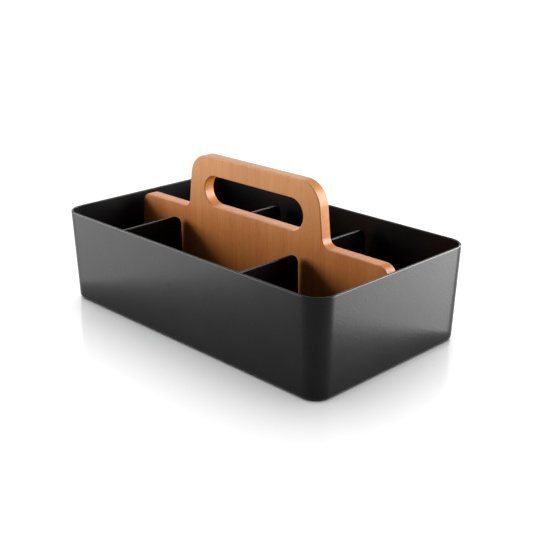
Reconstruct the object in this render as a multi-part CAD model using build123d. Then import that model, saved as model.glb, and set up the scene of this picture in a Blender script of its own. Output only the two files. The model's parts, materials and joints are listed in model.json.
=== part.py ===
"""Utensil caddy: an open moulded tray, an upright wooden board with a carrying slot that parts it
lengthwise, and four loose dividers that stand on its floor.

Millimetres, +Z up. X runs along the long side, the front is at -Y, and z = 0 is the underside of
the rubber feet, below the middle of the tray."""
from build123d import *
import os
from math import cos, radians, tan

# tray: one moulding with an open top
TRAY_LENGTH = 325.0          # outside, at the rim
TRAY_WIDTH = 189.0           # outside, at the rim
TRAY_HEIGHT = 86.0           # from the underside of the floor to the rim
TRAY_DRAFT = 2.25            # degrees, the walls lean outwards
TRAY_CORNER = 15.5           # outside radius of the upright corners, at the floor
TRAY_BOTTOM_ROUND = 3.0      # outside, where the walls meet the floor
TRAY_INSIDE_ROUND = 3.0      # inside, where the walls meet the floor
WALL = 2.0
FLOOR = 2.5
RIM_ROUND_SHARE = 0.45       # of the wall: the rim is nearly half round

# rubber feet, each stuck in a shallow recess
FOOT_DIAMETER = 14.0
FOOT_PROUD = 1.0
FOOT_RECESS = 0.6
FOOT_EDGE_ROUND = 0.4
FOOT_RECESS_CLEARANCE = 0.3  # round the foot
FOOT_INSET = 24.0            # from the outside of the floor to a foot's middle

# handle board
BOARD_THICKNESS = 11.0
BOARD_EDGE_ROUND = 0.8
BOARD_END_CLEARANCE = 0.5    # to the inside of the end walls
BOARD_END_SLOPE = 4.6        # degrees, the free upper part of each end leans inwards
BOARD_SHOULDER_SETBACK = 6.5  # from the inside of the rim to the board's end, at the shoulder
BOARD_BOTTOM_CORNER = 6.0
SHOULDER_ABOVE_RIM = 0.7
SHOULDER_CORNER = 10.0
HANDLE_RISE = 53.3           # from the shoulders to the top
HANDLE_TOP_LENGTH = 158.0    # where the sides would meet the top if it had no corners
HANDLE_SIDE_SLOPE = 6.2      # degrees, the handle widens downwards
HANDLE_TOP_CORNER = 22.5
HANDLE_ROOT_ROUND = 8.0      # hollow corner between a handle side and its shoulder

# carrying slot, with round ends
SLOT_LENGTH = 124.5
SLOT_HEIGHT = 28.2
SLOT_BELOW_TOP = 17.7

# countersunk wood screws that hold the board from below
SCREW_SHANK = 3.5
SCREW_HEAD = 7.0
SCREW_HEAD_EDGE = 0.3        # straight rim of the head
SCREW_LENGTH = 20.0
SCREW_TIP = 4.0
SCREW_RECESS = 0.15          # the head lies this far inside the floor's underside
SCREW_CLEARANCE = 0.1        # round the shank and head
SCREW_COUNT = 4
SCREW_END_DISTANCE = 34.0    # from the board's end to the outer screws
SCREW_DRIVE_WIDTH = 1.0
SCREW_DRIVE_LENGTH = 4.2
SCREW_DRIVE_DEPTH = 1.2

# dividers: an upright plate on a flat foot that points to +X
DIVIDER_HEIGHT = 73.5
DIVIDER_THICKNESS = 2.4
DIVIDER_BOARD_GAP = 0.4      # at the floor
DIVIDER_WALL_GAP = 1.9       # at the floor, from the inside of the long wall
DIVIDER_SIDE_SLOPE = 1.0     # degrees, the plate narrows upwards
DIVIDER_TOP_CORNER = 9.5
DIVIDER_BOTTOM_CORNER = 6.0
DIVIDER_EDGE_ROUND = 0.7
DIVIDER_FOOT_LENGTH = 30.0
DIVIDER_FOOT_INSET = 5.0     # from the plate's sides
DIVIDER_FOOT_CORNER = 8.0
DIVIDER_ROOT_ROUND = 2.0     # between the plate and its foot
GUSSET_SIZE = 14.0
GUSSET_THICKNESS = 2.0
GUSSET_SPREAD = 40.0         # between the two gussets of a divider
DIVIDER_PLACES = {           # name: (x of the plate, side of the board)
    "front_left": (-96.5, -1),
    "front_right": (58.0, -1),
    "rear_left": (-55.0, 1),
    "rear_right": (54.0, 1),
}

# heights and widths that follow
tray_bottom = FOOT_PROUD
rim = tray_bottom + TRAY_HEIGHT
floor_top = tray_bottom + FLOOR
lean = tan(radians(TRAY_DRAFT))


def outside_half(size_at_rim, z):
    """Half the outside length or width of the tray at a height."""
    return size_at_rim / 2 - (rim - z) * lean


def inside_half(size_at_rim, z):
    """Half the inside length or width of the tray at a height."""
    return outside_half(size_at_rim, z) - WALL


def drafted_block(z_low, z_high, inset):
    """A block with the tray's draft, its sides the inset inside the tray's own."""
    length = 2 * (outside_half(TRAY_LENGTH, z_low) - inset)
    width = 2 * (outside_half(TRAY_WIDTH, z_low) - inset)
    corner = TRAY_CORNER + (z_low - tray_bottom) * lean - inset
    outline = Plane.XY.offset(z_low) * RectangleRounded(length, width, corner)
    return extrude(outline, z_high - z_low, taper=-TRAY_DRAFT)


def foot_places():
    """The middle of each foot, by name."""
    x = outside_half(TRAY_LENGTH, tray_bottom) - FOOT_INSET
    y = outside_half(TRAY_WIDTH, tray_bottom) - FOOT_INSET
    sides = {"front": -y, "rear": y}
    ends = {"left": -x, "right": x}
    return {f"{s}_{e}": (ends[e], sides[s]) for s in sides for e in ends}


def screw_places():
    """The x of each screw, evenly spaced along the board."""
    reach = inside_half(TRAY_LENGTH, floor_top) - BOARD_END_CLEARANCE - SCREW_END_DISTANCE
    return [reach * (2 * i / (SCREW_COUNT - 1) - 1) for i in range(SCREW_COUNT)]


def screw_body(extra):
    """A countersunk screw, head down, point up, larger all round by the extra."""
    head_low = tray_bottom + SCREW_RECESS - (SCREW_RECESS if extra else 0)
    cone_low = tray_bottom + SCREW_RECESS + SCREW_HEAD_EDGE
    cone_high = cone_low + (SCREW_HEAD - SCREW_SHANK) / 2
    top = tray_bottom + SCREW_RECESS + SCREW_LENGTH
    shank, head = SCREW_SHANK / 2 + extra, SCREW_HEAD / 2 + extra
    outline = Polyline(
        (0, head_low), (head, head_low), (head, cone_low), (shank, cone_high),
        (shank, top - SCREW_TIP), (0, top + extra), close=True)
    return revolve(Plane.XZ * make_face(outline), Axis.Z)


def make_tray():
    """The moulding: outer block less inner block, then the rim, the recesses and the holes."""
    outer = drafted_block(tray_bottom, rim, 0)
    outer = fillet(outer.edges().group_by(Axis.Z)[0], TRAY_BOTTOM_ROUND)
    inner = drafted_block(floor_top, rim, WALL)
    inner = fillet(inner.edges().group_by(Axis.Z)[0], TRAY_INSIDE_ROUND)
    tray = outer - inner
    tray = fillet(tray.edges().group_by(Axis.Z)[-1], WALL * RIM_ROUND_SHARE)
    for x, y in foot_places().values():
        tray -= Pos(x, y, tray_bottom) * Cylinder(
            FOOT_DIAMETER / 2 + FOOT_RECESS_CLEARANCE, FOOT_RECESS,
            align=(Align.CENTER, Align.CENTER, Align.MIN))
    for x in screw_places():
        tray -= Pos(X=x) * screw_body(SCREW_CLEARANCE)
    return tray


def make_foot(x, y):
    """One round rubber foot, from its recess down to z = 0."""
    foot = Pos(x, y, 0) * Cylinder(
        FOOT_DIAMETER / 2, FOOT_PROUD + FOOT_RECESS,
        align=(Align.CENTER, Align.CENTER, Align.MIN))
    return fillet(foot.edges().group_by(Axis.Z)[0], FOOT_EDGE_ROUND)


def board_outline():
    """The face of the board, with all its corners round but for the slot."""
    shoulder = rim + SHOULDER_ABOVE_RIM
    top = shoulder + HANDLE_RISE
    top_half = HANDLE_TOP_LENGTH / 2
    root_half = top_half + HANDLE_RISE * tan(radians(HANDLE_SIDE_SLOPE))
    shoulder_half = inside_half(TRAY_LENGTH, rim) - BOARD_SHOULDER_SETBACK
    bottom_half = inside_half(TRAY_LENGTH, floor_top) - BOARD_END_CLEARANCE
    # the free end, going down from the shoulder, meets the line that follows the wall
    free_lean = tan(radians(BOARD_END_SLOPE))
    drop = bottom_half + (shoulder - floor_top) * lean - shoulder_half
    bend = shoulder - drop / (free_lean + lean)
    bend_half = shoulder_half + (shoulder - bend) * free_lean
    corners = [  # the right half, from the top down: x, z and the corner's radius
        (top_half, top, HANDLE_TOP_CORNER),
        (root_half, shoulder, HANDLE_ROOT_ROUND),
        (shoulder_half, shoulder, SHOULDER_CORNER),
        (bend_half, bend, BOARD_BOTTOM_CORNER),
        (bottom_half, floor_top, BOARD_BOTTOM_CORNER),
    ]
    right = [(x, z) for x, z, _ in corners]
    left = [(-x, z) for x, z in reversed(right)]
    face = make_face(Polyline(*right, *left, close=True))
    for x, z, radius in corners:
        pair = [v for v in face.vertices() if abs(abs(v.X) - x) < 0.01 and abs(v.Y - z) < 0.01]
        face = fillet(pair, radius)
    return face, top


def make_board():
    """The upright board with its carrying slot and the screws' pilot holes."""
    face, top = board_outline()
    slot_middle = top - SLOT_BELOW_TOP - SLOT_HEIGHT / 2
    face -= Pos(0, slot_middle) * SlotOverall(SLOT_LENGTH, SLOT_HEIGHT)
    board = extrude(Plane.XZ * face, BOARD_THICKNESS / 2, both=True)
    broad_faces = board.faces().sort_by(Axis.Y)
    board = fillet(broad_faces[0].edges() + broad_faces[-1].edges(), BOARD_EDGE_ROUND)
    for x in screw_places():
        board -= Pos(X=x) * screw_body(SCREW_CLEARANCE)
    return board


def make_screw(x):
    """One screw with a cross recess in its head."""
    screw = Pos(X=x) * screw_body(0)
    low = tray_bottom + SCREW_RECESS
    for length, width in ((SCREW_DRIVE_LENGTH, SCREW_DRIVE_WIDTH),
                          (SCREW_DRIVE_WIDTH, SCREW_DRIVE_LENGTH)):
        screw -= Pos(x, 0, low) * Box(
            length, width, SCREW_DRIVE_DEPTH, align=(Align.CENTER, Align.CENTER, Align.MIN))
    return screw


def make_divider(plate_x, side):
    """A plate across one half of the tray, with its foot on the floor and two gussets."""
    near = BOARD_THICKNESS / 2 + DIVIDER_BOARD_GAP
    far = inside_half(TRAY_WIDTH, floor_top) - DIVIDER_WALL_GAP
    narrowing = DIVIDER_HEIGHT * tan(radians(DIVIDER_SIDE_SLOPE))
    plate_top = floor_top + DIVIDER_HEIGHT
    outline = make_face(Polyline(
        (near, floor_top), (far, floor_top),
        (far - narrowing, plate_top), (near + narrowing, plate_top), close=True))
    ends = outline.vertices().group_by(Axis.Y)
    outline = fillet(ends[-1], DIVIDER_TOP_CORNER)
    outline = fillet(outline.vertices().group_by(Axis.Y)[0], DIVIDER_BOTTOM_CORNER)
    plate = extrude(Plane.YZ * outline, DIVIDER_THICKNESS / 2, both=True)
    flat_faces = plate.faces().sort_by(Axis.X)
    plate = fillet(flat_faces[0].edges() + flat_faces[-1].edges(), DIVIDER_EDGE_ROUND)

    middle = (near + far) / 2
    foot_width = far - near - 2 * DIVIDER_FOOT_INSET - 2 * DIVIDER_BOTTOM_CORNER
    foot = Pos(0, middle, floor_top) * Box(
        DIVIDER_FOOT_LENGTH, foot_width, DIVIDER_THICKNESS,
        align=(Align.MIN, Align.CENTER, Align.MIN))
    foot = fillet(foot.edges().filter_by(Axis.Z).group_by(Axis.X)[-1], DIVIDER_FOOT_CORNER)
    corner = GUSSET_SIZE + DIVIDER_THICKNESS
    wedge = make_face(Polyline(
        (0, floor_top), (corner, floor_top), (corner, floor_top + DIVIDER_THICKNESS),
        (DIVIDER_THICKNESS, floor_top + corner), (0, floor_top + corner), close=True))
    wedge = extrude(Plane.XZ * wedge, GUSSET_THICKNESS / 2, both=True)
    divider = plate + foot
    root = [e for e in divider.edges().filter_by(Axis.Y)
            if abs(e.center().X - DIVIDER_THICKNESS / 2) < 0.01
            and abs(e.center().Z - floor_top - DIVIDER_THICKNESS) < 0.01]
    divider = fillet(root, DIVIDER_ROOT_ROUND)
    for step in (-1, 1):
        divider += Pos(Y=middle + step * GUSSET_SPREAD / 2) * wedge
    if side < 0:
        divider = mirror(divider, Plane.XZ)
    return Pos(X=plate_x) * divider


def all_pieces():
    """Every piece by name, in its place."""
    pieces = {
        "tray": make_tray(),
        "handle_board": make_board(),
        "board_screws": Compound([make_screw(x).solid() for x in screw_places()]),
    }
    for name, (x, side) in DIVIDER_PLACES.items():
        pieces[f"divider_{name}"] = make_divider(x, side)
    for name, (x, y) in foot_places().items():
        pieces[f"foot_{name}"] = make_foot(x, y)
    return pieces


os.makedirs("parts", exist_ok=True)
for name, piece in all_pieces().items():
    export_step(piece, f"parts/{name}.step")
    box = piece.bounding_box()
    print(name, len(piece.solids()), "solids", round(piece.volume), "mm3",
          "x", round(box.min.X, 2), round(box.max.X, 2),
          "y", round(box.min.Y, 2), round(box.max.Y, 2),
          "z", round(box.min.Z, 2), round(box.max.Z, 2))
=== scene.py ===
# %% [markdown]
# # A utensil caddy, dressed for a studio picture
#
# The real thing is a black moulded tray with an open top. A wooden board stands upright along its
# middle and carries a slot for the hand, and four loose black dividers stand across the tray and
# can be slid along it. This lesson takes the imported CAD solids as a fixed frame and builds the
# looks round them: what must follow a rule is grown by Geometry Nodes, what is already right in the
# solids stays and gets a better finish, and the finishes are woven from procedural textures.

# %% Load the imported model
import json
from math import cos, pi, radians, sin, tan

import bmesh
import bpy
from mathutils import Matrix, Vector

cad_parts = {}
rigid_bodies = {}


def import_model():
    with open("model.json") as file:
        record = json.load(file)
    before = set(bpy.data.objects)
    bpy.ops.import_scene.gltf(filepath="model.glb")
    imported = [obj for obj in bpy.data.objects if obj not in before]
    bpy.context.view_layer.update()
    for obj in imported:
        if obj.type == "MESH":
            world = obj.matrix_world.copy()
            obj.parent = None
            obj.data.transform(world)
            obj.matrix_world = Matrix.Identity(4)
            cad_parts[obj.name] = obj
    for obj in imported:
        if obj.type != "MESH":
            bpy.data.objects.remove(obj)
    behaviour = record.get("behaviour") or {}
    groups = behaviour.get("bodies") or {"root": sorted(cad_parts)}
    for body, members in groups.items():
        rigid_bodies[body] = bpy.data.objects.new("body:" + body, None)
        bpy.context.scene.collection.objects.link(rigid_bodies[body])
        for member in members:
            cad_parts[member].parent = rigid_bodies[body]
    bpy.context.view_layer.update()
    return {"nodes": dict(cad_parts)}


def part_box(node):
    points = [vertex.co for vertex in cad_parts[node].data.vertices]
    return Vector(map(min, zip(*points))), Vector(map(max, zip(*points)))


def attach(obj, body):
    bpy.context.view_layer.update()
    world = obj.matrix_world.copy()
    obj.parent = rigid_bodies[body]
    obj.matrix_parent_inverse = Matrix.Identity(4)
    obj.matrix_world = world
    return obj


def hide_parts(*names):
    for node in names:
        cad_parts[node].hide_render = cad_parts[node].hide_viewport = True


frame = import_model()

MM = 0.001

# %% [markdown]
# ## Small helpers
#
# A finish starts from the Principled shader that every new material has. The helper below makes
# one and sets the numbers that are the same all over the surface straight on the shader's own
# sockets. Textures that vary over the surface are then linked to the other sockets, cell by cell.

# %% A finish to build on
def new_finish(name, **numbers):
    """A material with a Principled shader, its plain numbers set by socket name."""
    finish = bpy.data.materials.new(name)
    finish.use_nodes = True
    shader = finish.node_tree.nodes["Principled BSDF"]
    for socket, value in numbers.items():
        shader.inputs[socket.replace("_", " ")].default_value = value
    return finish, finish.node_tree, shader


def add_node(tree, kind, **settings):
    """One more node in the tree. Settings with capitals are its input sockets."""
    node = tree.nodes.new(kind)
    for name, value in settings.items():
        if name[0].isupper():
            node.inputs[name.replace("_", " ")].default_value = value
        else:
            setattr(node, name, value)
    return node


# %% Textures in the object's own metres
def stretched_coordinates(tree, scale):
    """Object coordinates, scaled by axis: a high number packs the pattern tightly along it."""
    place = add_node(tree, "ShaderNodeTexCoord")
    mapping = add_node(tree, "ShaderNodeMapping", Scale=scale)
    tree.links.new(place.outputs["Object"], mapping.inputs["Vector"])
    return mapping.outputs["Vector"]


def noise(tree, scale, detail=2.0, roughness=0.5, distortion=0.0):
    """A noise from 0 to 1 in coordinates stretched by the three scales."""
    texture = add_node(tree, "ShaderNodeTexNoise", Scale=1.0, Detail=detail, Roughness=roughness,
                       Distortion=distortion)
    tree.links.new(stretched_coordinates(tree, scale), texture.inputs["Vector"])
    return texture.outputs["Fac"]


def ramp(tree, value, stops):
    """Colours by value: stops are (position, colour)."""
    node = add_node(tree, "ShaderNodeValToRGB")
    points = node.color_ramp.elements
    while len(points) < len(stops):
        points.new(0.5)
    for point, (position, colour) in zip(points, stops):
        point.position = position
        point.color = (*colour, 1)
    tree.links.new(value, node.inputs["Fac"])
    return node.outputs["Color"]


def math(tree, operation, a, b):
    """One sum on two values, each a socket or a number."""
    node = add_node(tree, "ShaderNodeMath", operation=operation)
    for socket, value in zip(node.inputs, (a, b)):
        if isinstance(value, (int, float)):
            socket.default_value = value
        else:
            tree.links.new(value, socket)
    return node.outputs["Value"]


def weighted(tree, *parts):
    """The sum of (value, weight) parts."""
    total = 0
    for value, weight in parts:
        total = math(tree, "ADD", total, math(tree, "MULTIPLY", value, weight))
    return total


def spread(tree, value, low, high):
    """A value from 0 to 1, spread between two others."""
    node = add_node(tree, "ShaderNodeMapRange", To_Min=low, To_Max=high)
    tree.links.new(value, node.inputs["Value"])
    return node.outputs["Result"]


MIX_A, MIX_B, MIX_RESULT = 6, 7, 2      # a Mix node's colour sockets, whose names aren't unique


def multiplied(tree, colour, tint, amount):
    """A colour multiplied by a fixed tint, as far as the amount from 0 to 1 says."""
    node = add_node(tree, "ShaderNodeMix", data_type="RGBA", blend_type="MULTIPLY")
    node.inputs[MIX_B].default_value = (*tint, 1)
    tree.links.new(amount, node.inputs["Factor"])
    tree.links.new(colour, node.inputs[MIX_A])
    return node.outputs[MIX_RESULT]


def bump(tree, shader, height, depth, strength=1.0):
    """The surface's fine relief: a height from 0 to 1, and how deep that is in metres."""
    node = add_node(tree, "ShaderNodeBump", Strength=strength, Distance=depth)
    tree.links.new(height, node.inputs["Height"])
    tree.links.new(node.outputs["Normal"], shader.inputs["Normal"])


# %% [markdown]
# ## The moulded plastic
#
# The tray and the dividers are injection moulded in black. The steel mould was spark eroded, which
# leaves a very fine grain, so highlights are soft. Cooling leaves faint waves some centimetres
# long, and a ripple about two millimetres long dapples the reflections. The grain and the ripple
# are in the bump, and the waves and the ripple make the roughness uneven. The specular level is set
# low: this grain swallows much of what a smooth plastic would mirror, and the near corner of the
# real tray stays almost black.

# %% Black plastic of the tray and of the dividers
PLASTIC_MIRROR = 0.13                   # specular level
ROUGH_MIDDLE, ROUGH_EITHER_WAY = 0.31, 0.10
GRAIN_DEPTH, RIPPLE_TO_GRAIN = 0.004 * MM, 15.0


def moulded_plastic(name, tint):
    """Black plastic: the tint is the colour of its body, without what it mirrors."""
    finish, tree, shader = new_finish(name, Specular_IOR_Level=PLASTIC_MIRROR)
    waves = noise(tree, (28, 28, 40), detail=2)
    ripple = noise(tree, (520, 520, 520), detail=2)
    grain = noise(tree, (1900, 1900, 1900), detail=3, roughness=0.6)
    colour = ramp(tree, waves, [(0.3, [0.85 * c for c in tint]), (0.7, [1.15 * c for c in tint])])
    tree.links.new(colour, shader.inputs["Base Color"])
    uneven = weighted(tree, (waves, 0.4), (ripple, 0.6))
    tree.links.new(spread(tree, uneven, ROUGH_MIDDLE - ROUGH_EITHER_WAY,
                          ROUGH_MIDDLE + ROUGH_EITHER_WAY), shader.inputs["Roughness"])
    relief = weighted(tree, (ripple, RIPPLE_TO_GRAIN), (grain, 1.0))
    bump(tree, shader, relief, GRAIN_DEPTH)
    return finish


tray_plastic = moulded_plastic("tray_plastic", (0.0022, 0.0022, 0.0024))
# The dividers' tint is darker than the tray's: painted shade, for their place deep inside the tray.
divider_plastic = moulded_plastic("divider_plastic", (0.0016, 0.0016, 0.0017))
print("plastic finishes:", tray_plastic.name, divider_plastic.name)

# %% [markdown]
# ## The wood
#
# The board is a light reddish hardwood, sawn so that its grain stands upright: broad bands of
# slightly different tone, fine streaks about a millimetre apart, and short dark pores. All of them
# are one idea, a noise that is tightly packed along X, looser through the thickness, and drawn out
# along Z. Three such noises at different scales give the tone, and a fourth gives the pores. On the
# narrow top faces the same coordinates give short lines from front to back, as a real board shows
# there. Towards the top the tone is painted a little paler and yellower: a painted sheen, standing
# in for the light that the upper board catches.

# %% Oiled hardwood of the board
wood, tree, shader = new_finish("board_wood", Specular_IOR_Level=0.5)
bands = noise(tree, (62, 14, 2.2), detail=3, roughness=0.55, distortion=0.4)
streaks = noise(tree, (780, 150, 9), detail=4, roughness=0.62, distortion=0.15)
threads = noise(tree, (2300, 700, 42), detail=2, roughness=0.5)
pores = noise(tree, (2600, 1500, 120), detail=1, roughness=0.4)

tone = weighted(tree, (bands, 0.42), (streaks, 0.40), (threads, 0.18))
body_colour = ramp(tree, tone, [
    (0.30, (0.395, 0.109, 0.015)),
    (0.46, (0.485, 0.151, 0.025)),
    (0.54, (0.525, 0.172, 0.032)),
    (0.70, (0.580, 0.206, 0.047)),
])
pore_mask = ramp(tree, pores, [(0.30, (1, 1, 1)), (0.37, (0, 0, 0))])
print("wood:", len(tree.nodes), "nodes for its tones and pores")

# %% The painted sheen towards the top, the dark pores and the gloss
SHEEN_FROM, SHEEN_TO = 86 * MM, 128 * MM                  # heights between which it turns paler
SHEEN_WOBBLE = 12 * MM                                   # how far the bands shift these heights
SHEEN_TINT, SHEEN_AT_MOST = (1.00, 1.22, 1.35), 0.85
PORE_TINT, PORE_STRENGTH = (0.50, 0.36, 0.28), 0.55
place = add_node(tree, "ShaderNodeSeparateXYZ")
tree.links.new(stretched_coordinates(tree, (1, 1, 1)), place.inputs["Vector"])
# Painted sheen: between these heights the wood's colour is made paler and yellower, standing in for
# the light that falls on the upper board.
painted_sheen = add_node(tree, "ShaderNodeMapRange", From_Min=SHEEN_FROM, From_Max=SHEEN_TO,
                To_Max=SHEEN_AT_MOST)
height = weighted(tree, (place.outputs["Z"], 1.0), (bands, SHEEN_WOBBLE))
tree.links.new(height, painted_sheen.inputs["Value"])
colour = multiplied(tree, body_colour, SHEEN_TINT, painted_sheen.outputs["Result"])
colour = multiplied(tree, colour, PORE_TINT, math(tree, "MULTIPLY", pore_mask, PORE_STRENGTH))
tree.links.new(colour, shader.inputs["Base Color"])
tree.links.new(spread(tree, streaks, 0.36, 0.52), shader.inputs["Roughness"])
bump(tree, shader, weighted(tree, (streaks, 0.6), (pore_mask, -0.5)), 0.05 * MM, strength=0.6)
print("wood finish:", wood.name, len(tree.nodes), "nodes")

# %% [markdown]
# ## Rubber and steel
#
# Two finishes that only show from below. The stick-on feet are dull rubber with a speckle of
# chalk. The screws are zinc plated, with the fine rings that the lathe left round their heads.

# %% Rubber of the feet
rubber, tree, shader = new_finish("foot_rubber", Specular_IOR_Level=0.3)
speckle = noise(tree, (900, 900, 900), detail=3)
colour = ramp(tree, speckle, [(0.45, (0.012, 0.012, 0.012)), (0.75, (0.035, 0.034, 0.032))])
tree.links.new(colour, shader.inputs["Base Color"])
tree.links.new(spread(tree, speckle, 0.70, 0.85), shader.inputs["Roughness"])
bump(tree, shader, speckle, 0.02 * MM)
print("rubber finish:", rubber.name)

# %% Zinc plated steel of the screws
steel, tree, shader = new_finish("screw_steel", Metallic=1.0)
mottle = noise(tree, (420, 420, 420), detail=3)
colour = ramp(tree, mottle, [(0.3, (0.50, 0.50, 0.50)), (0.7, (0.66, 0.65, 0.62))])
tree.links.new(colour, shader.inputs["Base Color"])
tree.links.new(spread(tree, mottle, 0.24, 0.40), shader.inputs["Roughness"])
bump(tree, shader, noise(tree, (3000, 3000, 600)), 0.004 * MM)
print("steel finish:", steel.name)

# %% [markdown]
# ## The wall of the tray: one section, swept round
#
# A drafted box with round corners looks hard to model, and yet every upright cut through its wall
# is the same. So the cut is drawn once, as a line of points: along the underside, round the bottom
# edge, up the leaning outside, over the almost half round rim, down the inside, and round onto the
# floor. Swept round the outline of the rim it gives exact corners, because moving the line inwards
# by the draft makes each corner's radius smaller by the same amount, as on the real moulding.

# %% Sizes of the tray
TRAY_LENGTH, TRAY_WIDTH = 325 * MM, 189 * MM      # outside, at the rim
UNDERSIDE, FLOOR_TOP, RIM = 1.0 * MM, 3.5 * MM, 87 * MM
WALL = 2.0 * MM
RIM_ROUND = 0.45 * WALL
BOTTOM_ROUND = INSIDE_ROUND = 3.0 * MM
LEAN = tan(radians(2.25))                          # sideways for each step up
RIM_CORNER = 15.5 * MM + (RIM - UNDERSIDE) * LEAN
FLOOR_EDGE = 13.0 * MM                             # where the swept wall ends on the floor
HOLD = 0.4 * MM                                    # from a round to its holding point
print("corner radius at the rim:", round(RIM_CORNER / MM, 2), "mm")

# %% A line with round corners
def rounded_line(corners, steps):
    """Points along (x, z, radius) corners: an arc at each, and holding points beside the arcs.

    A holding point sits on the flat close to a round. Smooth shading blends from point to point,
    so without it the shine of a small round would bleed over the whole flat."""
    arcs = []
    for i, (x, z, radius) in enumerate(corners):
        here = Vector((x, z))
        if radius == 0:
            arcs.append([here])
            continue
        back = (Vector(corners[i - 1][:2]) - here).normalized()
        ahead = (Vector(corners[(i + 1) % len(corners)][:2]) - here).normalized()
        half = back.angle(ahead) / 2
        middle = here + (back + ahead).normalized() * radius / sin(half)
        first = here + back * radius / tan(half) - middle
        last = here + ahead * radius / tan(half) - middle
        turn = pi - 2 * half
        if first.x * last.y - first.y * last.x < 0:
            turn = -turn
        arcs.append([middle + Vector((
            first.x * cos(turn * k / steps) - first.y * sin(turn * k / steps),
            first.x * sin(turn * k / steps) + first.y * cos(turn * k / steps)))
            for k in range(steps + 1)])
    line = list(arcs[0])
    for arc in arcs[1:]:
        run = arc[0] - line[-1]
        if run.length > 3 * HOLD:
            line += [line[-1] + run.normalized() * HOLD, arc[0] - run.normalized() * HOLD]
        line += arc
    return line


# %% The section of the wall
lean_out = (RIM - UNDERSIDE) * LEAN
section = rounded_line([
    (-FLOOR_EDGE, UNDERSIDE, 0),
    (-lean_out, UNDERSIDE, BOTTOM_ROUND),
    (0, RIM, RIM_ROUND),
    (-WALL, RIM, RIM_ROUND),
    (-WALL - (RIM - FLOOR_TOP) * LEAN, FLOOR_TOP, INSIDE_ROUND),
    (-FLOOR_EDGE, FLOOR_TOP, 0),
], steps=7)
section_mesh = bpy.data.meshes.new("wall_section")
section_mesh.from_pydata([(p.x, -p.y, 0) for p in section],
                         [(i, i + 1) for i in range(len(section) - 1)], [])
print("the section has", len(section), "points")

# %% [markdown]
# ## The node tree that sweeps it
#
# The tree takes the section as its geometry and the sizes as named inputs. A rectangle gets round
# corners from Fillet Curve, its normals are turned to Z Up so that the section never rolls, and
# Curve to Mesh pulls the section along. Realize Instances and Set Material come last, because an
# export keeps neither instances nor a material that was never set.

# %% A node tree with named inputs, and how to run one
def start_tree(name, inputs):
    """An empty Geometry Nodes tree with a geometry input and output and the inputs named."""
    tree = bpy.data.node_groups.new(name, "GeometryNodeTree")
    tree.interface.new_socket("Geometry", in_out="INPUT", socket_type="NodeSocketGeometry")
    for label, kind in inputs.items():
        tree.interface.new_socket(label, in_out="INPUT", socket_type="NodeSocket" + kind)
    tree.interface.new_socket("Geometry", in_out="OUTPUT", socket_type="NodeSocketGeometry")
    return tree, tree.nodes.new("NodeGroupInput").outputs


def end_tree(tree, geometry, material):
    """Realize Instances, smooth shading and Set Material, then the tree's output."""
    real = add_node(tree, "GeometryNodeRealizeInstances")
    smooth = add_node(tree, "GeometryNodeSetShadeSmooth")
    paint = add_node(tree, "GeometryNodeSetMaterial")
    tree.links.new(geometry, real.inputs["Geometry"])
    tree.links.new(real.outputs["Geometry"], smooth.inputs["Geometry"])
    tree.links.new(smooth.outputs["Geometry"], paint.inputs["Geometry"])
    tree.links.new(material, paint.inputs["Material"])
    tree.links.new(paint.outputs["Geometry"], tree.nodes.new("NodeGroupOutput").inputs["Geometry"])


def run_tree(tree, name, base, values):
    """The tree's result on a base mesh, as a plain mesh object at the origin."""
    source = bpy.data.objects.new(name + "_source", base)
    bpy.context.collection.objects.link(source)
    modifier = source.modifiers.new(tree.name, "NODES")
    modifier.node_group = tree
    for socket in tree.interface.items_tree:
        if socket.in_out == "INPUT" and socket.name in values:
            modifier[socket.identifier] = values[socket.name]
    graph = bpy.context.evaluated_depsgraph_get()
    mesh = bpy.data.meshes.new_from_object(source.evaluated_get(graph), depsgraph=graph)
    source.modifiers.remove(modifier)
    bpy.data.objects.remove(source)
    piece = bpy.data.objects.new(name, mesh)
    bpy.context.collection.objects.link(piece)
    return piece


# %% The tree for the tray's wall
swept_wall, given = start_tree("swept_wall", {
    "Length": "Float", "Width": "Float", "Corner Radius": "Float", "Corner Steps": "Int",
    "Material": "Material"})
outline = add_node(swept_wall, "GeometryNodeCurvePrimitiveQuadrilateral")
corners = add_node(swept_wall, "GeometryNodeFilletCurve", mode="POLY")
upright = add_node(swept_wall, "GeometryNodeSetCurveNormal", mode="Z_UP")
profile = add_node(swept_wall, "GeometryNodeMeshToCurve")
sweep = add_node(swept_wall, "GeometryNodeCurveToMesh")
join = swept_wall.links.new
join(given["Length"], outline.inputs["Width"])
join(given["Width"], outline.inputs["Height"])
join(outline.outputs["Curve"], corners.inputs["Curve"])
join(given["Corner Radius"], corners.inputs["Radius"])
join(given["Corner Steps"], corners.inputs["Count"])
join(corners.outputs["Curve"], upright.inputs["Curve"])
join(upright.outputs["Curve"], sweep.inputs["Curve"])
join(given["Geometry"], profile.inputs["Mesh"])
join(profile.outputs["Curve"], sweep.inputs["Profile Curve"])
end_tree(swept_wall, sweep.outputs["Mesh"], given["Material"])

tray = run_tree(swept_wall, "tray_moulding", section_mesh, {
    "Length": TRAY_LENGTH, "Width": TRAY_WIDTH, "Corner Radius": RIM_CORNER, "Corner Steps": 20,
    "Material": tray_plastic})
print("swept wall:", len(tray.data.polygons), "faces",
      [round(v / MM, 2) for v in tray.dimensions])

# %% [markdown]
# ## The floor of the tray
#
# The sweep leaves two open loops, one on top of the floor and one below it. Each is filled with a
# flat face. The floor also has real holes: four countersunk ones under the board, for the screws
# that hold it, and four shallow round recesses for the rubber feet. Each hole is a small stack of
# rings, and the flat faces are filled round its first ring.

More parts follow.
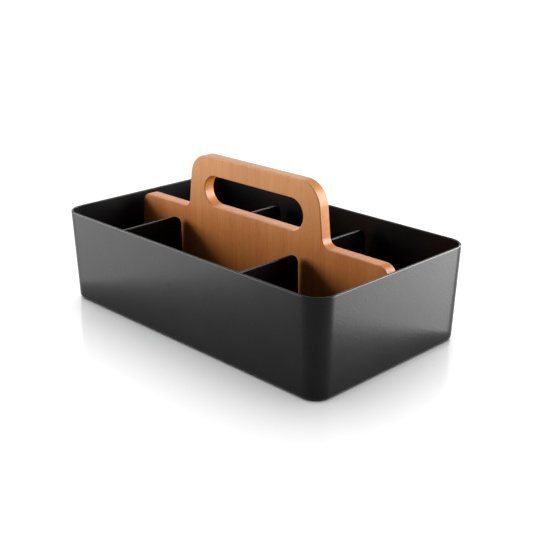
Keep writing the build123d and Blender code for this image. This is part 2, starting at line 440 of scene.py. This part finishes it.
# %% Places of the holes, and stacks of rings
SCREW_X = (-122.72 * MM, -40.91 * MM, 40.91 * MM, 122.72 * MM)
SINK_RADIUS, HOLE_RADIUS = 3.6 * MM, 1.85 * MM          # the countersink's mouth, and the hole
CONE_LOW, CONE_HIGH = 1.45 * MM, 3.2 * MM               # heights of the cone between them
FOOT_X, FOOT_Y = 135.12 * MM, 67.12 * MM
RECESS_RADIUS, RECESS_DEPTH = 7.3 * MM, 0.6 * MM
RING_STEPS = 32


def ring_stack(mesh, x, y, rings):
    """Quads between rings of (radius, z) about an upright axis. Gives the rings' vertices."""
    stack = [[mesh.verts.new((x + r * cos(2 * pi * k / RING_STEPS),
                              y + r * sin(2 * pi * k / RING_STEPS), z))
              for k in range(RING_STEPS)] for r, z in rings]
    for low, high in zip(stack, stack[1:]):
        for k in range(RING_STEPS):
            n = (k + 1) % RING_STEPS
            mesh.faces.new((low[k], low[n], high[n], high[k]))
    return stack


def loop_edges(mesh, ring):
    """The edges round a ring of vertices, marked sharp."""
    edges = []
    for a, b in zip(ring, ring[1:] + ring[:1]):
        edge = mesh.edges.get((a, b)) or mesh.edges.new((a, b))
        edge.smooth = False
        edges.append(edge)
    return edges


# %% Fill the floor round its holes
SAME_PLACE = 0.001 * MM
CUBIC_CM = (10 * MM) ** 3
mesh = bmesh.new()
mesh.from_mesh(tray.data)
bmesh.ops.remove_doubles(mesh, verts=mesh.verts, dist=SAME_PLACE)
open_edges = [e for e in mesh.edges if e.is_boundary]
below = [e for e in open_edges if e.verts[0].co.z < 0.5 * (UNDERSIDE + FLOOR_TOP)]
above = [e for e in open_edges if e not in below]
for x in SCREW_X:
    stack = ring_stack(mesh, x, 0, [(SINK_RADIUS, UNDERSIDE), (SINK_RADIUS, CONE_LOW),
                                    (HOLE_RADIUS, CONE_HIGH), (HOLE_RADIUS, FLOOR_TOP)])
    below += loop_edges(mesh, stack[0])
    loop_edges(mesh, stack[1])
    loop_edges(mesh, stack[2])
    above += loop_edges(mesh, stack[3])
for x, y in [(sx * FOOT_X, sy * FOOT_Y) for sx in (-1, 1) for sy in (-1, 1)]:
    stack = ring_stack(mesh, x, y, [(RECESS_RADIUS, UNDERSIDE),
                                    (RECESS_RADIUS, UNDERSIDE + RECESS_DEPTH)])
    below += loop_edges(mesh, stack[0])
    loop_edges(mesh, stack[1])
    mesh.faces.new(stack[1])
for edges in (below, above):
    bmesh.ops.triangle_fill(mesh, edges=edges, use_beauty=True)
bmesh.ops.recalc_face_normals(mesh, faces=mesh.faces)
for face in mesh.faces:
    face.smooth = True
print("tray: open edges", sum(e.is_boundary for e in mesh.edges),
      "volume", round(mesh.calc_volume(signed=True) / CUBIC_CM, 1), "cm3")
mesh.to_mesh(tray.data)
mesh.free()

# %% The tray takes the place of its solid
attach(tray, "caddy")
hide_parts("tray")
low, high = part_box("tray")
print("solid", [round(v / MM, 2) for v in (high - low)],
      "moulding", [round(v / MM, 2) for v in tray.dimensions])

# %% [markdown]
# ## What repeats: screws and feet
#
# Four screws stand in a row and four feet stand in two rows. One tree serves both: it makes a row
# of points along X, repeats that row along Y, and puts a copy of the piece on every point. So a
# caddy with six screws would need one number changed.

# %% The tree for rows of pieces
rows, given = start_tree("rows_of_pieces", {
    "Count X": "Int", "Count Y": "Int", "Spacing X": "Float", "Spacing Y": "Float",
    "Material": "Material"})


def centred_line(count, spacing, axis):
    """Points along an axis, evenly spaced about the middle."""
    line = add_node(rows, "GeometryNodeMeshLine", mode="OFFSET", count_mode="TOTAL")
    step = add_node(rows, "ShaderNodeCombineXYZ")
    start = add_node(rows, "ShaderNodeCombineXYZ")
    less = math(rows, "MULTIPLY", math(rows, "SUBTRACT", count, 1), -0.5)
    rows.links.new(spacing, step.inputs[axis])
    rows.links.new(math(rows, "MULTIPLY", less, spacing), start.inputs[axis])
    rows.links.new(count, line.inputs["Count"])
    rows.links.new(start.outputs["Vector"], line.inputs["Start Location"])
    rows.links.new(step.outputs["Vector"], line.inputs["Offset"])
    return line.outputs["Mesh"]


places = add_node(rows, "GeometryNodeInstanceOnPoints")
merged = add_node(rows, "GeometryNodeRealizeInstances")
copies = add_node(rows, "GeometryNodeInstanceOnPoints")
rows.links.new(centred_line(given["Count Y"], given["Spacing Y"], "Y"), places.inputs["Points"])
rows.links.new(centred_line(given["Count X"], given["Spacing X"], "X"), places.inputs["Instance"])
rows.links.new(places.outputs["Instances"], merged.inputs["Geometry"])
rows.links.new(merged.outputs["Geometry"], copies.inputs["Points"])
rows.links.new(given["Geometry"], copies.inputs["Instance"])
end_tree(rows, copies.outputs["Instances"], given["Material"])
print("tree", rows.name, "has", len(rows.nodes), "nodes")

# %% [markdown]
# A countersunk wood screw is a turned shape with a cross pressed into its head. The turned part is
# a stack of rings again. The head's face is filled between its rim and the cross, and the cross
# gets walls and a bottom, so that a driver would really fit.

# %% One screw, head down
HEAD_RADIUS, SHANK_RADIUS, TIP_RADIUS = 3.5 * MM, 1.75 * MM, 0.25 * MM
HEAD_LOW, HEAD_BEVEL = 1.15 * MM, 0.12 * MM
POINT_FROM, TIP_AT, SCREW_TOP = 17.15 * MM, 20.9 * MM, 21.15 * MM
ARM, HALF_SLIT, DRIVE_TOP = 2.1 * MM, 0.5 * MM, HEAD_LOW + 1.2 * MM
mesh = bmesh.new()
stack = ring_stack(mesh, 0, 0, [
    (HEAD_RADIUS - HEAD_BEVEL, HEAD_LOW), (HEAD_RADIUS, HEAD_LOW + HEAD_BEVEL),
    (HEAD_RADIUS, CONE_LOW), (SHANK_RADIUS, CONE_HIGH), (SHANK_RADIUS, POINT_FROM),
    (TIP_RADIUS, TIP_AT)])
tip = mesh.verts.new((0, 0, SCREW_TOP))
for a, b in zip(stack[-1], stack[-1][1:] + stack[-1][:1]):
    mesh.faces.new((a, b, tip))
cross = [(ARM, HALF_SLIT), (HALF_SLIT, HALF_SLIT), (HALF_SLIT, ARM)]
cross += [(-y, x) for x, y in cross]
cross += [(-x, -y) for x, y in cross]
mouth, bottom = ([mesh.verts.new((x, y, z)) for x, y in cross] for z in (HEAD_LOW, DRIVE_TOP))
for i in range(len(cross)):
    n = (i + 1) % len(cross)
    mesh.faces.new((mouth[i], mouth[n], bottom[n], bottom[i]))
bmesh.ops.triangle_fill(mesh, edges=loop_edges(mesh, bottom), use_beauty=True)
head_edges = loop_edges(mesh, stack[0]) + loop_edges(mesh, mouth)
bmesh.ops.triangle_fill(mesh, edges=head_edges, use_beauty=True)
for ring in stack[2:4]:
    loop_edges(mesh, ring)
for a, b in zip(mouth, bottom):
    mesh.edges.get((a, b)).smooth = False
bmesh.ops.recalc_face_normals(mesh, faces=mesh.faces)
screw_mesh = bpy.data.meshes.new("one_screw")
mesh.to_mesh(screw_mesh)
print("one screw: open edges", sum(e.is_boundary for e in mesh.edges),
      "volume", round(mesh.calc_volume(signed=True) / MM ** 3, 1), "mm3")
mesh.free()

# %% Four screws in a row
screws = run_tree(rows, "countersunk_screws", screw_mesh, {
    "Count X": len(SCREW_X), "Count Y": 1, "Spacing X": SCREW_X[1] - SCREW_X[0], "Spacing Y": 0.0,
    "Material": steel})
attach(screws, "caddy")
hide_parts("board_screws")
print("screws:", [round(v / MM, 2) for v in screws.dimensions])

# %% [markdown]
# A rubber foot is a stick-on pad: a low disc with a soft lower edge. Its underside is slightly
# dished, so that it stands on a ring and grips a smooth table.

# %% One foot
FOOT_RADIUS, FOOT_TOP, FOOT_ROUND = 7.0 * MM, 1.6 * MM, 0.4 * MM
DISH, DISH_MIDDLE, DISH_FLAT, DISH_EDGE = 0.15 * MM, 0.8 * MM, 4.4 * MM, 5.6 * MM
HALF_WAY, HALF_WAY_DISH = 5.0 * MM, 0.6 * DISH          # a ring on the dish's slope
BESIDE_ROUND, BELOW_TOP = 0.2 * MM, 0.25 * MM           # rings that hold the shading
mesh = bmesh.new()
edge = [(FOOT_RADIUS - FOOT_ROUND * (1 - sin(a)), FOOT_ROUND * (1 - cos(a)))
        for a in (radians(15 * k) for k in range(7))]
stack = ring_stack(mesh, 0, 0, [
    (DISH_MIDDLE, DISH), (DISH_FLAT, DISH), (HALF_WAY, HALF_WAY_DISH), (DISH_EDGE, 0),
    (edge[0][0] - BESIDE_ROUND, 0), *edge,
    (FOOT_RADIUS, FOOT_TOP - BELOW_TOP), (FOOT_RADIUS, FOOT_TOP)])
mesh.faces.new(stack[0])
mesh.faces.new(stack[-1])
loop_edges(mesh, stack[-1])
bmesh.ops.recalc_face_normals(mesh, faces=mesh.faces)
foot_mesh = bpy.data.meshes.new("one_foot")
mesh.to_mesh(foot_mesh)
print("one foot: open edges", sum(e.is_boundary for e in mesh.edges),
      "volume", round(mesh.calc_volume(signed=True) / MM ** 3, 1), "mm3")
mesh.free()

# %% Two rows of two feet
feet = run_tree(rows, "rubber_feet", foot_mesh, {
    "Count X": 2, "Count Y": 2, "Spacing X": 2 * FOOT_X, "Spacing Y": 2 * FOOT_Y,
    "Material": rubber})
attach(feet, "caddy")
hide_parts("foot_front_left", "foot_front_right", "foot_rear_left", "foot_rear_right")
print("feet:", [round(v / MM, 2) for v in feet.dimensions])

# %% [markdown]
# ## The board and the dividers
#
# These solids already have the right shape, down to the eased edges and the fillet at each
# divider's foot, and their normals come exact from the CAD surfaces. So they stay as they are, and
# only their material slot is filled with the finishes from above.

# %% Dress the solids that stay
def dress(node, finish):
    """Fills the material slot of a CAD solid."""
    solid = frame["nodes"][node]
    solid.data.materials.clear()
    solid.data.materials.append(finish)


dress("handle_board", wood)
for node in frame["nodes"]:
    if node.startswith("divider_"):
        dress(node, divider_plastic)
print("dressed:", [n for n in frame["nodes"] if n.startswith(("handle", "divider"))])

# %% [markdown]
# ## The studio
#
# The caddy stands on a wide, plain, pale floor. Where a camera, a mirror or a clear thing looks
# past the floor, the world is plain white, and for everything else it gives only a faint glow. The
# paper of the floor is a little glossy, so that it mirrors the foot of the tray faintly.

# %% Floor
FLOOR_REACH = 8                         # metres, from the middle to each side
mesh = bmesh.new()
bmesh.ops.create_grid(mesh, x_segments=1, y_segments=1, size=FLOOR_REACH)
floor_mesh = bpy.data.meshes.new("studio_floor")
mesh.to_mesh(floor_mesh)
mesh.free()
floor = bpy.data.objects.new("studio_floor", floor_mesh)
bpy.context.collection.objects.link(floor)
paper, tree, shader = new_finish("studio_paper", Roughness=0.16, Specular_IOR_Level=0.5)
shader.inputs["Base Color"].default_value = (0.80, 0.80, 0.80, 1)
floor_mesh.materials.append(paper)

# %% World
world = bpy.data.worlds.new("studio")
world.use_nodes = True
bpy.context.scene.world = world
tree = world.node_tree
glow = tree.nodes["Background"]
glow.inputs["Color"].default_value = (1, 1, 1, 1)
GLOW = 0.08                             # for all but camera, glossy and transmission rays
path = add_node(tree, "ShaderNodeLightPath")
seen = math(tree, "MAXIMUM", path.outputs["Is Camera Ray"], path.outputs["Is Glossy Ray"])
seen = math(tree, "MAXIMUM", seen, path.outputs["Is Transmission Ray"])
tree.links.new(spread(tree, seen, GLOW, 1.0), glow.inputs["Strength"])

# %% [markdown]
# ## Lamps that mind their own business
#
# A black tray on a white floor needs two kinds of light. The floor wants a wide even sky, so that
# it turns white and still shows a soft shadow. The tray wants a few panels and cards whose
# reflections draw its walls, as in a real studio, where a black thing shows hardly anything but
# reflections. Light linking keeps the two apart: a lamp gets a collection, and shines on nothing
# outside it. The cards stand close to the tray, so they are kept off the wood. So is the panel that
# draws the rims, and one weak panel is for the wood alone.

# %% Who is lit by what
def light_group(name, members):
    """A collection that a lamp can be linked to, so that it shines on nothing else."""
    group = bpy.data.collections.new(name)
    for member in members:
        group.objects.link(member)
    return group


board = frame["nodes"]["handle_board"]
for_floor = light_group("lit_floor", [floor])
for_wood = light_group("lit_wood", [board])
for_caddy = light_group("lit_caddy", [
    thing for thing in bpy.data.objects if thing.type == "MESH" and thing != floor])
for_plastic = light_group("lit_plastic", [thing for thing in for_caddy.objects if thing != board])


def hang(name, lamp, place, aim, group):
    """Puts a lamp in its place, facing a point, and links it to its group."""
    holder = bpy.data.objects.new(name, lamp)
    bpy.context.collection.objects.link(holder)
    holder.location = place
    holder.rotation_euler = (Vector(aim) - Vector(place)).to_track_quat("-Z", "Y").to_euler()
    holder.visible_camera = False
    holder.light_linking.receiver_collection = group
    print(name, lamp.type.lower(), "of strength", round(lamp.energy, 2))


# %% Sky over the floor
def sky(name, place, spread_degrees, strength):
    """A sun so wide that it is a patch of sky, for the floor alone."""
    lamp = bpy.data.lights.new(name, "SUN")
    lamp.angle, lamp.energy = radians(spread_degrees), strength
    hang(name, lamp, place, (0, 0, 0), for_floor)


sky("sky_over", (0, 0.01, 2.0), 120, 3.50)
sky("sky_behind", (-0.7, 0.7, 1.2), 60, 1.45)

# %% Panels for the caddy
def panel(name, place, aim, size, watts, group, spread_degrees=180):
    """A rectangular lamp of (width, height) that shines on one group."""
    lamp = bpy.data.lights.new(name, "AREA")
    lamp.shape, lamp.energy = "RECTANGLE", watts
    lamp.size, lamp.size_y = size
    lamp.spread = radians(spread_degrees)
    hang(name, lamp, place, aim, group)


MIDDLE = (0, 0, 0.08)
panel("panel_left", (-1.1, -0.7, 0.40), MIDDLE, (0.80, 0.75), 21.5, for_caddy)
panel("panel_right", (0.8, 0.9, 0.50), MIDDLE, (0.60, 1.00), 29.8, for_caddy)
panel("panel_back", (-0.9, 0.9, 0.45), MIDDLE, (0.90, 0.70), 2.2, for_caddy)
panel("panel_wood", (-0.7, -1.0, 0.30), MIDDLE, (0.80, 0.60), 2.7, for_wood)
panel("panel_rims", (0.35, 1.0, 0.42), MIDDLE, (0.70, 0.50), 29.0, for_plastic)

# %% [markdown]
# Two upright cards stand close to the visible walls, turned so that the camera sees them mirrored
# there. Their light leaves within a narrow angle, as through a honeycomb grid. Without the grid
# they would also blaze at other angles, where a wall is seen almost edge on and mirrors strongly.

# %% Cards beside the tray's walls
GRID = 64                               # degrees, from side to side of the light's cone
panel("card_left", (-0.112, -0.168, 0.165), (0.388, 0.332, 0.165), (0.32, 0.32), 0.49,
      for_plastic, GRID)
panel("card_right", (0.258, 0.008, 0.165), (-0.342, -0.712, 0.165), (0.24, 0.32), 0.73,
      for_plastic, GRID)

# %% [markdown]
# ## The camera
#
# It stands in front of the right-hand corner and looks down by twenty degrees. The lens and place
# come from measuring the tray's rim and base edges in the picture, which is square.

# %% Camera
IMAGE_WIDTH, FOCAL_PIXELS = 533, 976.421
SENSOR = 36                             # millimetres, as the lens is
LOOKS_DOWN, LOOKS_LEFT = 20.102, 45.414     # degrees from level, and from +Y
lens = bpy.data.cameras.new("camera")
lens.sensor_width = SENSOR
lens.lens = FOCAL_PIXELS / IMAGE_WIDTH * SENSOR
camera = bpy.data.objects.new("camera", lens)
bpy.context.collection.objects.link(camera)
camera.location = (0.59755, -0.575914, 0.351287)
camera.rotation_euler = (radians(90 - LOOKS_DOWN), 0, radians(LOOKS_LEFT))
bpy.context.scene.camera = camera
bpy.context.scene.view_settings.view_transform = "Standard"
print("lens", round(lens.lens, 2), "mm")
